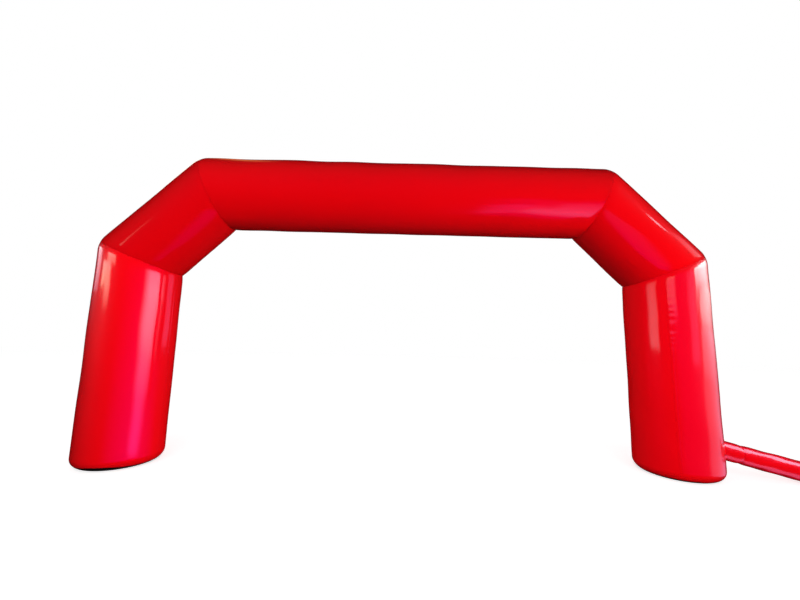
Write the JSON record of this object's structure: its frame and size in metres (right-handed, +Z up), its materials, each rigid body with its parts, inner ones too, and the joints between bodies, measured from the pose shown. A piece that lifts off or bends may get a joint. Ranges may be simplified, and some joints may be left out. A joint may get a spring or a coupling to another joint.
{
  "type": "inflatable arch",
  "caption": "Air-filled gateway arch sewn from straight tube lengths with mitred shoulders, dished base panels and a sloping sleeve for a blower.",
  "frame": {"origin": "on the floor, under the middle of the whole part's box with its sleeve; the middle of the gateway lies 0.723 m along -X from it", "axes": "+X across the arch towards the leg with the blower's sleeve, -Y towards the front, +Z up"},
  "size_m": [9.4458, 0.95, 4],
  "materials": {
    "red_cloth": "glossy coated cloth",
    "black_cloth": "matt coated cloth"
  },
  "bodies": {
    "root": {"leg_left": "red_cloth", "leg_right": "red_cloth", "shoulder_left": "red_cloth", "shoulder_right": "red_cloth", "top_beam": "red_cloth", "sleeve_stub": "red_cloth", "blower_sleeve": "red_cloth", "base_left": "black_cloth", "base_right": "black_cloth"}
  },
  "joints": []
}
